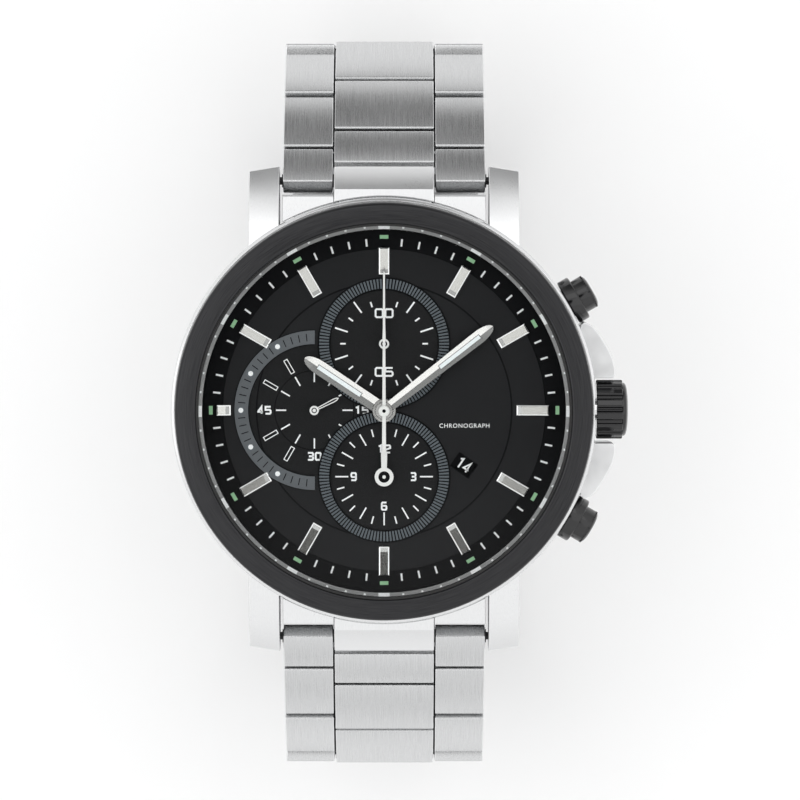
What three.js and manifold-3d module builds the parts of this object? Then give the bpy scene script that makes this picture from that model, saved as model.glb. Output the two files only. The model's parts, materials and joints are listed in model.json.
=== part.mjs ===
// Chronograph wristwatch on a three-row steel bracelet, closed as it is when worn.
// Millimetres, +Z up. The dial faces +Z, 12 o'clock is +Y and the crown is on +X.
// The watch stands on the flat underside of its clasp: the origin is on that face, below the hands' axis.
import * as THREE from "three";
import { mergeVertices } from "three/addons/utils/BufferGeometryUtils.js";
import Module from "manifold-3d";

const wasm = await Module();
wasm.setup();

const DEGREE = Math.PI / 180;
const WELD = 1e-4; // vertices closer than this are one vertex
const PLAY = 0.15; // side play between hinged pieces
const FINE = 48; // sides of the large rounds
const MEDIUM = 28;
const COARSE = 14;
const SMALL = 10;
const PIN_SIDES = 6;

// ---- bracelet ----
const LINK_PITCH = 7.4;
const FIRST_PITCH = 4.7; // the link next to the case is shorter
const LINK_HALF_THICKNESS = 1.5;
const CENTRE_HALF_WIDTH = 5.43;
const ROW_INNER_X = CENTRE_HALF_WIDTH + PLAY;
const ROW_OUTER_X = 10.98;
const OUTER_KNUCKLE = 1.2; // how far an outer row reaches back past its hinge
const CENTRE_KNUCKLE = 1.05; // how far the centre row reaches on past the next hinge
const OUTER_GAP = 0.2; // between the outer rows of two links
const CENTRE_GAP = 0.35;
const PIN_RADIUS = 0.55;
const PIN_HOLE_RADIUS = 0.7;
const PIN_HALF_LENGTH = 10.2;
const FIRST_CENTRE_START = 2.27; // clears the end link's rounded nose
// How far each link leans down from the dial plane, from the case to the clasp.
const LINK_TILTS = [37, 41, 53, 90, 104, 115, 132, 155, 180];

// ---- heights ----
const CLASP_PIVOT_Z = 2.6;
const LUG_PIVOT_Y = 24.8;
const chain = linkChain();
const HEAD_Z = CLASP_PIVOT_Z + chain.drop; // height of the lug pivots; the watch head is built from here
const CLASP_PIVOT_Y = chain.endY;

// ---- watch head, heights from the lug pivots ----
const CASE_RADIUS = 23.0;
const CASE_BOTTOM = -2.2;
const CASE_TOP = 5.2;
const CHAMBER_RADIUS = 17.4; // the movement's room
const SEAT_RADIUS = 20.75; // the dial's and flange's room
const SEAT_Z = 3.05;
const BEZEL_OUTER = 22.5;
const BEZEL_INNER = 20.25;
const BEZEL_TOP = 7.9;
const CRYSTAL_RADIUS = 19.9;
const CRYSTAL_BOTTOM = 6.75;
const CRYSTAL_TOP = 8.2;
const FLANGE_INNER = 19.6;
const FLANGE_TOP = 6.5;
const DIAL_BOTTOM = 3.1;
const DIAL_TOP = 3.5;
const COUNTER_OFFSET = 7.2; // the upper and lower counters, from the centre
const LEFT_COUNTER_OFFSET = 7.55;
const COUNTER_RING_INNER = 5.8;
const COUNTER_RING_OUTER = 7.18;
const CONTROL_Z = 1.2; // the axes of the crown and the pushers
const PUSHER_ANGLE = 30;
const MODULE_RADIUS = 15.4;
const MODULE_TOP = 2.55;
const CASEBACK_BOTTOM = -3.6;
const LUG_INNER_X = 11.35;
const LUG_OUTER_X = 14.65;
const LUG_ROOT_Y = 17.6; // inside the round case
const LUG_SLANT = 0.55; // how much shorter a lug is on its outer side
const BAR_HOLE_RADIUS = 0.55;
const BAR_TIP_X = 12.5; // where the spring bars end, inside the lugs
const CROWN_GAP_HALF_WIDTH = 3.5; // between the guards
const BAR_RADIUS = 0.75;
const BAR_TIP_RADIUS = 0.42;
const BAR_CLEARANCE_RADIUS = 0.9; // the hole that the bar's thick part lies in
const BAR_HALF_LENGTH = 11.1;
const BAR_SIDES = 8;

// ---- solids ----

// A three.js geometry as a solid that can be joined and cut.
function solidOf(geometry) {
  const bare = geometry.clone();
  bare.deleteAttribute("normal");
  bare.deleteAttribute("uv");
  const merged = mergeVertices(bare, WELD);
  const faces = [];
  for (let i = 0; i < merged.index.count; i += 3) {
    const [a, b, c] = [0, 1, 2].map((k) => merged.index.getX(i + k));
    if (a !== b && b !== c && c !== a) faces.push(a, b, c);
  }
  const build = (triVerts) =>
    new wasm.Manifold(
      new wasm.Mesh({
        numProp: 3,
        vertProperties: merged.attributes.position.array,
        triVerts: new Uint32Array(triVerts),
      }),
    );
  const made = build(faces);
  return made.volume() < 0 ? build(faces.reverse()) : made;
}

function joined(...geometries) {
  return geometries.map(asSolid).reduce((a, b) => a.add(b));
}

function cut(from, ...geometries) {
  return geometries.map(asSolid).reduce((a, b) => a.subtract(b), asSolid(from));
}

function asSolid(shape) {
  return shape.isBufferGeometry ? solidOf(shape) : shape;
}

function geometryOf(shape) {
  const mesh = asSolid(shape).getMesh();
  const positions = new Float32Array(mesh.numVert * 3);
  for (let i = 0; i < mesh.numVert; i++) {
    const start = i * mesh.numProp;
    positions.set(mesh.vertProperties.subarray(start, start + 3), i * 3);
  }
  const geometry = new THREE.BufferGeometry();
  geometry.setAttribute("position", new THREE.BufferAttribute(positions, 3));
  geometry.setIndex(new THREE.BufferAttribute(mesh.triVerts, 1));
  geometry.computeVertexNormals();
  return geometry;
}

// ---- basic shapes ----

function box(x0, x1, y0, y1, z0, z1) {
  return new THREE.BoxGeometry(x1 - x0, y1 - y0, z1 - z0).translate(
    (x0 + x1) / 2,
    (y0 + y1) / 2,
    (z0 + z1) / 2,
  );
}

// Turns a [radius, height] profile about +Z. It starts and ends on the axis or closes on itself.
function turned(profile, sides = FINE) {
  const points = profile.map(([r, z]) => new THREE.Vector2(r, z));
  return new THREE.LatheGeometry(points, sides).rotateX(90 * DEGREE);
}

function ring(inner, outer, z0, z1, sides = FINE) {
  return turned([[inner, z0], [outer, z0], [outer, z1], [inner, z1], [inner, z0]], sides);
}

function disc(radius, z0, z1, sides = COARSE, x = 0, y = 0) {
  return new THREE.CylinderGeometry(radius, radius, z1 - z0, sides)
    .rotateX(90 * DEGREE)
    .translate(x, y, (z0 + z1) / 2);
}

function rodAlongX(radius, x0, x1, y, z, sides = COARSE) {
  return new THREE.CylinderGeometry(radius, radius, x1 - x0, sides)
    .rotateZ(90 * DEGREE)
    .translate((x0 + x1) / 2, y, z);
}

// A flat outline of [x, y] points raised from z0 to z1.
function plate(outline, z0, z1) {
  const shape = new THREE.Shape(outline.map(([x, y]) => new THREE.Vector2(x, y)));
  return new THREE.ExtrudeGeometry(shape, { depth: z1 - z0, bevelEnabled: false }).translate(0, 0, z0);
}

// A side outline of [y, z] points swept from x0 to x1.
function sweptAlongX(outline, x0, x1) {
  const toSide = new THREE.Matrix4().makeBasis(
    new THREE.Vector3(0, 1, 0),
    new THREE.Vector3(0, 0, 1),
    new THREE.Vector3(1, 0, 0),
  );
  return plate(outline, x0, x1).applyMatrix4(toSide);
}

// Points of an elliptical arc about [cx, cy], from one angle to another in degrees.
function arc(cx, cy, rx, ry, from, to, steps) {
  return Array.from({ length: steps + 1 }, (_, i) => {
    const angle = (from + ((to - from) * i) / steps) * DEGREE;
    return [cx + rx * Math.cos(angle), cy + ry * Math.sin(angle)];
  });
}

// Makes the same shape on +X and -X.
function onBothSides(make) {
  return [make(), make().scale(-1, 1, 1)].map(solidOf);
}

// ---- materials ----
const STEEL = { color: 0xc9cbcd, roughness: 0.32, metalness: 1 };
const POLISHED_STEEL = { color: 0xdcdddf, roughness: 0.12, metalness: 1 };
const BLACK_METAL = { color: 0x17181a, roughness: 0.35, metalness: 0.8 };
const GLOSS_BLACK = { color: 0x0c0c0d, roughness: 0.12, metalness: 0.6 };
const DIAL_BLACK = { color: 0x0b0c0e, roughness: 0.55, metalness: 0.1 };
const RUBBER = { color: 0x141414, roughness: 0.9, metalness: 0 };
const CLEAR = { color: 0xf4f8fa, roughness: 0.02, metalness: 0, transparent: true, opacity: 0.25 };
const BRASS = { color: 0xb9a26a, roughness: 0.35, metalness: 1 };
const GREY_PLASTIC = { color: 0x55585c, roughness: 0.6, metalness: 0 };
const COPPER = { color: 0xa5542c, roughness: 0.45, metalness: 1 };

const watch = new THREE.Group();

function add(group, name, shape, look) {
  const mesh = new THREE.Mesh(geometryOf(shape), new THREE.MeshStandardMaterial(look));
  mesh.name = name;
  group.add(mesh);
  return mesh;
}

const head = new THREE.Group();
head.position.z = HEAD_Z;
watch.add(head);

// ---- case ----

// The inner side of a lug: its top slopes down to a faceted tip.
const LUG_SIDE = [
  [LUG_ROOT_Y, -2.2],
  [24.9, -2.4],
  [26.0, -1.7],
  [26.4, -0.6],
  [26.4, 1.2],
  [23.1, 3.7],
  [LUG_ROOT_Y, 4.9],
];
const GUARD_PLAN = [
  [21.2, CROWN_GAP_HALF_WIDTH],
  [24.6, CROWN_GAP_HALF_WIDTH],
  [24.95, 3.9],
  [24.95, 4.6],
  [24.7, 5.65],
  [23.6, 7.45],
  [22.4, 9.15],
  [21.6, 8.7],
  [21.2, 8.2],
];

// A lug about x and y, its end slanting back towards the outside.
function lug(side) {
  const geometry = sweptAlongX(LUG_SIDE.map(([y, z]) => [side * y, z]), LUG_INNER_X, LUG_OUTER_X);
  const points = geometry.getAttribute("position");
  for (let i = 0; i < points.count; i++) {
    const y = points.getY(i);
    const isOuter = points.getX(i) > LUG_INNER_X + WELD;
    if (isOuter && Math.abs(y) > LUG_ROOT_Y + WELD) points.setY(i, y - side * LUG_SLANT);
  }
  return geometry;
}

function caseBody() {
  const gasketGroove = [
    [17.6, CASE_BOTTOM],
    [17.6, -1.95],
    [18.4, -1.95],
    [18.4, CASE_BOTTOM],
  ];
  const barrel = turned([
    [CHAMBER_RADIUS, CASE_BOTTOM],
    ...gasketGroove,
    [CASE_RADIUS - 0.6, CASE_BOTTOM],
    [CASE_RADIUS, CASE_BOTTOM + 0.7],
    [CASE_RADIUS, CASE_TOP - 0.25],
    [CASE_RADIUS - 0.25, CASE_TOP],
    [SEAT_RADIUS, CASE_TOP],
    [SEAT_RADIUS, SEAT_Z],
    [CHAMBER_RADIUS, SEAT_Z],
    [CHAMBER_RADIUS, CASE_BOTTOM],
  ]);
  const lugs = [1, -1].flatMap((side) => onBothSides(() => lug(side)));
  const guards = [1, -1].map((side) => plate(GUARD_PLAN.map(([x, y]) => [x, side * y]), -1.7, 4.5));
  const holeEnd = BAR_TIP_X + 0.2;
  const barHoles = [1, -1].map((side) =>
    rodAlongX(BAR_HOLE_RADIUS, -holeEnd, holeEnd, side * LUG_PIVOT_Y, 0, BAR_SIDES),
  );
  const gap = CROWN_GAP_HALF_WIDTH;
  const crownSlot = box(22.75, 26, -gap, gap, CASE_BOTTOM - 1, CASE_TOP + 1);
  const crownHole = rodAlongX(1.3, 16, 24, 0, CONTROL_Z, COARSE);
  const pusherHoles = [PUSHER_ANGLE, -PUSHER_ANGLE].map((angle) => radial(1.72, 16, 25, angle));
  return cut(joined(barrel, ...lugs, ...guards), crownSlot, crownHole, ...pusherHoles, ...barHoles);
}

// A rod along a line from the hands' axis outwards, at the height of the crown.
function radial(radius, from, to, angle, sides = COARSE) {
  return rodAlongX(radius, from, to, 0, CONTROL_Z, sides).rotateZ(angle * DEGREE);
}

add(head, "case_body", caseBody(), STEEL);

function bezel() {
  const corner = arc(BEZEL_OUTER - 0.6, BEZEL_TOP - 0.6, 0.6, 0.6, 0, 90, 2);
  return turned([
    [SEAT_RADIUS, CASE_TOP + 0.1],
    [BEZEL_OUTER, CASE_TOP + 0.1],
    ...corner,
    [BEZEL_INNER + 0.15, BEZEL_TOP],
    [BEZEL_INNER, BEZEL_TOP - 0.15],
    [BEZEL_INNER, FLANGE_TOP + 0.1],
    [SEAT_RADIUS, FLANGE_TOP + 0.1],
    [SEAT_RADIUS, CASE_TOP + 0.1],
  ]);
}

add(head, "bezel", bezel(), BLACK_METAL);
add(head, "crystal_gasket", ring(CRYSTAL_RADIUS + 0.05, BEZEL_INNER - 0.05, 6.6, 7.8), RUBBER);
add(
  head,
  "crystal",
  turned([
    [0, CRYSTAL_BOTTOM],
    [CRYSTAL_RADIUS, CRYSTAL_BOTTOM],
    [CRYSTAL_RADIUS, CRYSTAL_TOP - 0.35],
    [CRYSTAL_RADIUS - 0.35, CRYSTAL_TOP],
    [0, CRYSTAL_TOP],
  ]),
  CLEAR,
);
add(head, "flange_ring", ring(FLANGE_INNER, SEAT_RADIUS - 0.1, DIAL_TOP + 0.1, FLANGE_TOP), DIAL_BLACK);

// ---- dial ----

const DATE_WINDOW = { radius: 10.5, angle: 124.7, length: 2.37, width: 1.76 };

// Turns a clock angle, clockwise from 12 o'clock, into a turn about +Z.
function clockTurn(geometry, degrees) {
  return geometry.rotateZ(-degrees * DEGREE);
}

function dial() {
  const base = disc(SEAT_RADIUS - 0.2, DIAL_BOTTOM, DIAL_TOP, FINE);
  const rings = [1, -1].map((side) =>
    ring(COUNTER_RING_INNER, COUNTER_RING_OUTER, DIAL_TOP - 0.1, DIAL_TOP + 0.25, MEDIUM).translate(
      0,
      side * COUNTER_OFFSET,
      0,
    ),
  );
  const band = ring(7.1, 8.7, DIAL_TOP - 0.1, DIAL_TOP + 0.12, MEDIUM);
  band.translate(-LEFT_COUNTER_OFFSET, 0, 0);
  const halfBand = cut(band, box(-7.5, 3, -10, 10, DIAL_TOP - 1, DIAL_TOP + 1));
  const { radius, angle, length, width } = DATE_WINDOW;
  const window = box(-width / 2, width / 2, radius - length / 2, radius + length / 2, 2.5, 4.5);
  return cut(
    joined(base, ...rings, halfBand),
    disc(1.25, 2.5, 4.5),
    disc(0.5, 2.5, 4.5, SMALL, 0, COUNTER_OFFSET),
    disc(0.5, 2.5, 4.5, SMALL, 0, -COUNTER_OFFSET),
    disc(0.5, 2.5, 4.5, SMALL, -LEFT_COUNTER_OFFSET, 0),
    clockTurn(window, angle),
  );
}

add(head, "dial", dial(), DIAL_BLACK);
add(head, "date_disc", ring(8.6, 12.4, 2.7, 2.9, MEDIUM), DIAL_BLACK);

// ---- hands ----

// A hand pointing to 12 o'clock: a bar that widens to a shoulder and ends in a curved point.
function handOutline(length, rootHalf, shoulderHalf, tipLength, tail) {
  const shoulder = length - tipLength;
  const right = [
    [rootHalf, -tail],
    [shoulderHalf, shoulder],
    [shoulderHalf * 0.62, shoulder + tipLength * 0.55],
  ];
  const left = right.map(([x, y]) => [-x, y]).reverse();
  return [...right, [0, length], ...left];
}

function centreHand({ outline, low, high, hub, pipe, bore, pipeBottom, angle }) {
  const solid = joined(
    plate(outline, low, high),
    disc(hub, low, high, 16),
    disc(pipe, pipeBottom, high, SMALL),
  );
  const bored = bore ? cut(solid, disc(bore, pipeBottom - 1, high + 1, SMALL)) : solid;
  return { shape: bored, angle };
}

const HANDS = {
  hour_hand: {
    outline: handOutline(10.3, 0.73, 0.78, 1.7, 0),
    low: 4.35,
    high: 4.6,
    hub: 1.285,
    pipe: 1.02,
    bore: 0.76,
    pipeBottom: 2.2,
    angle: 303.6,
  },
  minute_hand: {
    outline: handOutline(14.9, 0.53, 0.72, 1.9, 0),
    low: 4.85,
    high: 5.1,
    hub: 0.965,
    pipe: 0.64,
    bore: 0.4,
    pipeBottom: 1.9,
    angle: 52.1,
  },
  chrono_seconds_hand: {
    outline: handOutline(15.1, 0.225, 0.12, 0.4, 4.5),
    low: 5.35,
    high: 5.5,
    hub: 0.62,
    pipe: 0.27,
    bore: 0,
    pipeBottom: 1.5,
    angle: 0,
  },
};
for (const [name, hand] of Object.entries(HANDS)) {
  const { shape, angle } = centreHand(hand);
  add(head, name, shape, POLISHED_STEEL).rotation.z = -angle * DEGREE;
}

// A counter's hand with its arbor, built about its own axis.
function counterHand(length, half, hub) {
  return joined(
    plate(handOutline(length, half, half, 0.5, 0), 3.95, 4.1),
    disc(hub, 3.95, 4.2, 14),
    disc(0.36, 1.9, 4.1, 8),
  );
}

const COUNTER_HANDS = [
  { name: "upper_counter_hand", x: 0, y: COUNTER_OFFSET, length: 3.6, half: 0.3, hub: 0.55, angle: 0 },
  { name: "lower_counter_hand", x: 0, y: -COUNTER_OFFSET, length: 3.0, half: 0.36, hub: 1.02, angle: 0 },
  {
    name: "running_seconds_hand",
    x: -LEFT_COUNTER_OFFSET,
    y: 0,
    length: 2.9,
    half: 0.185,
    hub: 0.5,
    angle: 63,
  },
];
for (const { name, x, y, length, half, hub, angle } of COUNTER_HANDS) {
  const mesh = add(head, name, counterHand(length, half, hub), POLISHED_STEEL);
  mesh.position.set(x, y, 0);
  mesh.rotation.z = -angle * DEGREE;
}

// ---- movement ----

const BATTERY = { x: -5.5, y: 6.5, radius: 4.75 };

function movementModule() {
  const pockets = [
    disc(BATTERY.radius + 0.2, -2, 0.75, MEDIUM, BATTERY.x, BATTERY.y),
    box(1.5, 10.5, -9.6, -6.4, -2, 0.6),
  ];
  const arbors = [
    disc(1.25, 1.2, 3, COARSE),
    disc(0.5, 1.6, 3, SMALL, 0, COUNTER_OFFSET),
    disc(0.5, 1.6, 3, SMALL, 0, -COUNTER_OFFSET),
    disc(0.5, 1.6, 3, SMALL, -LEFT_COUNTER_OFFSET, 0),
  ];
  const stemHole = radial(0.8, 11, 17, 0, SMALL);
  return cut(disc(MODULE_RADIUS, -1.4, MODULE_TOP, 40), ...pockets, ...arbors, stemHole);
}

add(head, "movement_module", movementModule(), BRASS);
add(head, "battery", disc(BATTERY.radius, -1.35, 0.65, MEDIUM, BATTERY.x, BATTERY.y), STEEL);

// A winding along x between two flanges.
function motorCoil() {
  const flanges = [1.7, 9.05].map((x) => box(x, x + 1.25, -9.4, -6.6, -1.3, 0.4));
  return joined(rodAlongX(1.0, 2.9, 9.1, -8, -0.5, 14), ...flanges);
}

add(head, "motor_coil", motorCoil(), COPPER);

function movementRing() {
  const body = ring(MODULE_RADIUS + 0.15, CHAMBER_RADIUS - 0.2, -1.6, 2.75, 40);
  return cut(
    body,
    radial(1.35, 14, 19, 0, SMALL),
    radial(1.2, 14, 19, PUSHER_ANGLE, SMALL),
    radial(1.2, 14, 19, -PUSHER_ANGLE, SMALL),
  );
}

add(head, "movement_ring", movementRing(), GREY_PLASTIC);

// ---- caseback ----

function caseback() {
  const cover = turned([
    [0, CASEBACK_BOTTOM],
    [18.6, CASEBACK_BOTTOM],
    [19.0, CASEBACK_BOTTOM + 0.4],
    [19.0, -2.35],
    [17.1, -2.35],
    [17.1, -1.75],
    [16.1, -1.75],
    [16.1, -2.35],
    [0, -2.35],
  ]);
  const notches = Array.from({ length: 6 }, (_, i) =>
    box(17.4, 20, -1.6, 1.6, CASEBACK_BOTTOM - 1, CASEBACK_BOTTOM + 0.55).rotateZ(i * 60 * DEGREE),
  );
  return cut(cover, ...notches);
}

add(head, "caseback", caseback(), STEEL);
add(head, "caseback_gasket", ring(17.72, 18.3, -2.3, -2.0, 36), RUBBER);

// ---- crown ----

const CROWN = { inner: 23.0, fluted: 25.85, outer: 26.5, radius: 3.2, flutes: 14 };

function crown() {
  const step = 360 / CROWN.flutes;
  const outline = [];
  for (let i = 0; i < CROWN.flutes; i++) {
    const groove = CROWN.radius - 0.32;
    for (const [turn, radius] of [[-0.36, CROWN.radius], [0.2, CROWN.radius], [0.3, groove], [0.54, groove]]) {
      const angle = (i + turn) * step * DEGREE;
      outline.push([radius * Math.cos(angle), radius * Math.sin(angle)]);
    }
  }
  const grip = sweptAlongX(outline, CROWN.inner, CROWN.fluted);
  const cap = new THREE.CylinderGeometry(2.9, 2.45, CROWN.outer - CROWN.fluted + 0.05, 20)
    .rotateZ(90 * DEGREE)
    .translate((CROWN.outer + CROWN.fluted - 0.05) / 2, 0, 0);
  const seal = rodAlongX(1.95, CROWN.inner - 1, 24.6, 0, 0, COARSE);
  const bore = rodAlongX(0.63, 24, 25.4, 0, 0, SMALL);
  return cut(joined(grip, cap), seal, bore).translate(0, 0, CONTROL_Z);
}

add(head, "crown", crown(), GLOSS_BLACK);
add(head, "crown_stem", radial(0.6, 11.5, 25.3, 0, SMALL), STEEL);
add(head, "crown_tube", cut(radial(1.2, 17.6, 24.2, 0), radial(0.78, 17, 25, 0, SMALL)), STEEL);
add(head, "crown_gasket", cut(radial(1.85, 23.5, 24.1, 0), radial(1.3, 23, 25, 0)), RUBBER);

// ---- pushers ----

// A coil spring about the X axis; it is drawn at its pressed length.
function spring(x0, x1, coilRadius, wireRadius, coils) {
  class Helix extends THREE.Curve {
    getPoint(t, target = new THREE.Vector3()) {
      const angle = t * coils * 2 * Math.PI;
      const x = x0 + wireRadius + t * (x1 - x0 - 2 * wireRadius);
      return target.set(x, coilRadius * Math.cos(angle), coilRadius * Math.sin(angle));
    }
  }
  const corners = arc(0, 0, wireRadius, wireRadius, 0, 270, 3);
  const wire = new THREE.Shape(corners.map(([x, y]) => new THREE.Vector2(x, y)));
  return new THREE.ExtrudeGeometry(wire, {
    steps: coils * 8,
    extrudePath: new Helix(),
    bevelEnabled: false,
  }).translate(0, 0, CONTROL_Z);
}

for (const [place, angle] of [["upper", PUSHER_ANGLE], ["lower", -PUSHER_ANGLE]]) {
  const pusher = joined(
    radial(1.9, 24.15, 25.7, 0, 16),
    radial(1.65, 25.65, 26.0, 0, 16),
    radial(0.5, 16.4, 24.2, 0, 8),
    radial(0.95, 18.1, 18.4, 0, 8),
  );
  const tube = cut(
    joined(radial(1.6, 18.6, 23.2, 0, 12), radial(2.5, 23.05, 24.4, 0, 16)),
    radial(0.68, 18, 25, 0, 8),
    radial(1.25, 20.2, 25, 0, 12),
    radial(2.05, 23.3, 25, 0, 16),
  );
  const meshes = [
    add(head, place + "_pusher", pusher, GLOSS_BLACK),
    add(head, place + "_pusher_tube", tube, GLOSS_BLACK),
    add(head, place + "_pusher_spring", spring(20.3, 23.2, 0.85, 0.14, 3), STEEL),
  ];
  for (const mesh of meshes) mesh.rotation.z = angle * DEGREE;
}

// ---- bracelet ----

// Walks the links from a lug to the clasp: where each hinge is, and where the chain ends.
function linkChain() {
  const hinges = [];
  let y = LUG_PIVOT_Y;
  let drop = 0;
  LINK_TILTS.forEach((tilt, i) => {
    const pitch = i === 0 ? FIRST_PITCH : LINK_PITCH;
    hinges.push({ y, drop, tilt, pitch });
    y += pitch * Math.cos(tilt * DEGREE);
    drop += pitch * Math.sin(tilt * DEGREE);
  });
  return { hinges, endY: y, drop };
}

// A bar seen from the side, from one rounded end to the other.
function roundedBar(start, end, endDepth) {
  const h = LINK_HALF_THICKNESS;
  return [
    ...arc(end - endDepth, 0, endDepth, h, -90, 90, 3),
    ...arc(start + endDepth, 0, endDepth, h, 90, 270, 3),
  ];
}

// One link about its own hinge, reaching along +Y, its outer face up.
function link({ first, pitch, hasPin }) {
  const centreStart = first ? FIRST_CENTRE_START : CENTRE_KNUCKLE + CENTRE_GAP;
  const outerEnd = pitch - OUTER_KNUCKLE - OUTER_GAP;
  const centreEnd = pitch + CENTRE_KNUCKLE;
  const outline = roundedBar(-OUTER_KNUCKLE, outerEnd, OUTER_KNUCKLE);
  const rows = onBothSides(() => sweptAlongX(outline, ROW_INNER_X, ROW_OUTER_X));
  const centre = sweptAlongX(
    roundedBar(centreStart, centreEnd, CENTRE_KNUCKLE),
    -CENTRE_HALF_WIDTH,
    CENTRE_HALF_WIDTH,
  );
  const bridge = box(-5.8, 5.8, centreStart + 0.3, outerEnd - 0.3, -1.1, 1.1);
  const parts = [centre, ...rows, bridge];
  if (hasPin) parts.push(rodAlongX(PIN_RADIUS, -PIN_HALF_LENGTH, PIN_HALF_LENGTH, pitch, 0, PIN_SIDES));
  const holeRadius = first ? BAR_CLEARANCE_RADIUS : PIN_HOLE_RADIUS;
  const holeEnd = first ? BAR_HALF_LENGTH + 0.1 : PIN_HALF_LENGTH + 0.2;
  const holes = onBothSides(() => rodAlongX(holeRadius, 4, holeEnd, 0, 0, first ? SMALL : PIN_SIDES));
  return cut(joined(...parts), ...holes);
}

for (const [hour, turn] of [["12", 0], ["6", 180]]) {
  const strap = new THREE.Group();
  strap.rotation.z = turn * DEGREE;
  strap.position.z = HEAD_Z;
  watch.add(strap);
  chain.hinges.forEach(({ y, drop, tilt, pitch }, i) => {
    const last = i === chain.hinges.length - 1;
    const shape = link({ first: i === 0, pitch, hasPin: !(last && hour === "12") });
    const mesh = add(strap, `link_${hour}_${i + 1}`, shape, STEEL);
    mesh.position.set(0, y, -drop);
    mesh.rotation.x = -tilt * DEGREE;
  });
  add(strap, "end_link_" + hour, endLink(), STEEL);
  add(strap, "spring_bar_" + hour, springBar(), STEEL);
}

// The fixed piece between the lugs: shoulders that meet the case and a nose that the first link turns on.
function endLink() {
  const nose = [
    [19, -1.6],
    [24.9, -1.5],
    [25.9, -1.3],
    [26.4, -0.5],
    [26.4, 0.5],
    [25.95, 1.5],
    [23.9, 3.3],
    [19, 4.0],
  ];
  const shoulder = [
    [19, -1.5],
    [22.9, -1.5],
    [23.3, -1.1],
    [23.3, 3.1],
    [22.9, 3.5],
    [19, 4.0],
  ];
  return cut(
    joined(
      sweptAlongX(nose, -CENTRE_HALF_WIDTH, CENTRE_HALF_WIDTH),
      sweptAlongX(shoulder, -ROW_OUTER_X, ROW_OUTER_X),
    ),
    disc(CASE_RADIUS + PLAY, -5, 8, FINE),
    rodAlongX(BAR_CLEARANCE_RADIUS, -CASE_RADIUS, CASE_RADIUS, LUG_PIVOT_Y, 0, SMALL),
  );
}

function springBar() {
  return joined(
    rodAlongX(BAR_RADIUS, -BAR_HALF_LENGTH, BAR_HALF_LENGTH, LUG_PIVOT_Y, 0, SMALL),
    rodAlongX(BAR_TIP_RADIUS, -BAR_TIP_X, BAR_TIP_X, LUG_PIVOT_Y, 0, BAR_SIDES),
  );
}

// ---- clasp ----

const FOLD_Y = -10.5;
const FOLD_Z = 2.15;
const CLASP_END = 13.2; // where the cover's plate stops, clear of the last link's swing
const WALL_INNER_X = 9.45;
const WALL_OUTER_X = 10.9; // a hair inside the ears
const BUTTON_Y = 4.5;
const CLASP_Z = CLASP_PIVOT_Z;

// The cover: a flat plate with two side walls, hinged ears towards 6 o'clock and a pivot towards 12.
function claspCover() {
  const floor = box(-WALL_OUTER_X, WALL_OUTER_X, -12.2, CLASP_END, 0, 0.95);
  const ear = [
    ...arc(-CLASP_PIVOT_Y, CLASP_Z, OUTER_KNUCKLE, LINK_HALF_THICKNESS, 90, 270, 4),
    [-13.4, 0.3],
    [-13.0, 0],
    [-11.7, 0],
    [-11.7, 3.9],
    [-12.4, CLASP_Z + LINK_HALF_THICKNESS],
  ];
  const ears = onBothSides(() => sweptAlongX(ear, ROW_INNER_X, ROW_OUTER_X));
  const wall = [
    [-11.9, 0],
    [CLASP_END - 0.2, 0],
    ...arc(CLASP_PIVOT_Y, CLASP_Z, 1.15, 1.25, -60, 90, 5),
    [-11.9, CLASP_Z + 1.25],
  ];
  const walls = onBothSides(() => sweptAlongX(wall, WALL_INNER_X, WALL_OUTER_X));
  const pinHoles = onBothSides(() =>
    rodAlongX(PIN_HOLE_RADIUS, 4, PIN_HALF_LENGTH + 0.2, -CLASP_PIVOT_Y, CLASP_Z, PIN_SIDES),
  );
  return cut(
    joined(floor, ...ears, ...walls),
    ...pinHoles,
    rodAlongX(0.54, -12, 12, CLASP_PIVOT_Y, CLASP_Z, SMALL),
    rodAlongX(1.0, -12, 12, BUTTON_Y, 2.45, SMALL),
  );
}

// The lower folding blade: it turns on the cover's end and carries the fork.
function claspInnerBlade() {
  const arm = [
    [11.6, 1.15],
    [13.2, 1.3],
    ...arc(CLASP_PIVOT_Y, CLASP_Z, 1.05, 1.05, -90, 130, 5),
    [12.8, 1.95],
    [11.6, 1.95],
  ];
  const tongue = [
    [-9, 1.15],
    [-9, 1.95],
    ...arc(FOLD_Y, FOLD_Z, 0.9, 0.9, 30, 300, 6),
  ];
  return cut(
    joined(
      box(-8.7, 8.7, -9.3, 12.2, 1.15, 1.95),
      ...onBothSides(() => sweptAlongX(arm, 7.4, 8.7)),
      sweptAlongX(tongue, -3.2, 3.2),
    ),
    rodAlongX(0.62, -12, 12, CLASP_PIVOT_Y, CLASP_Z, SMALL),
    rodAlongX(0.56, -12, 12, FOLD_Y, FOLD_Z, SMALL),
  );
}

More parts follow.
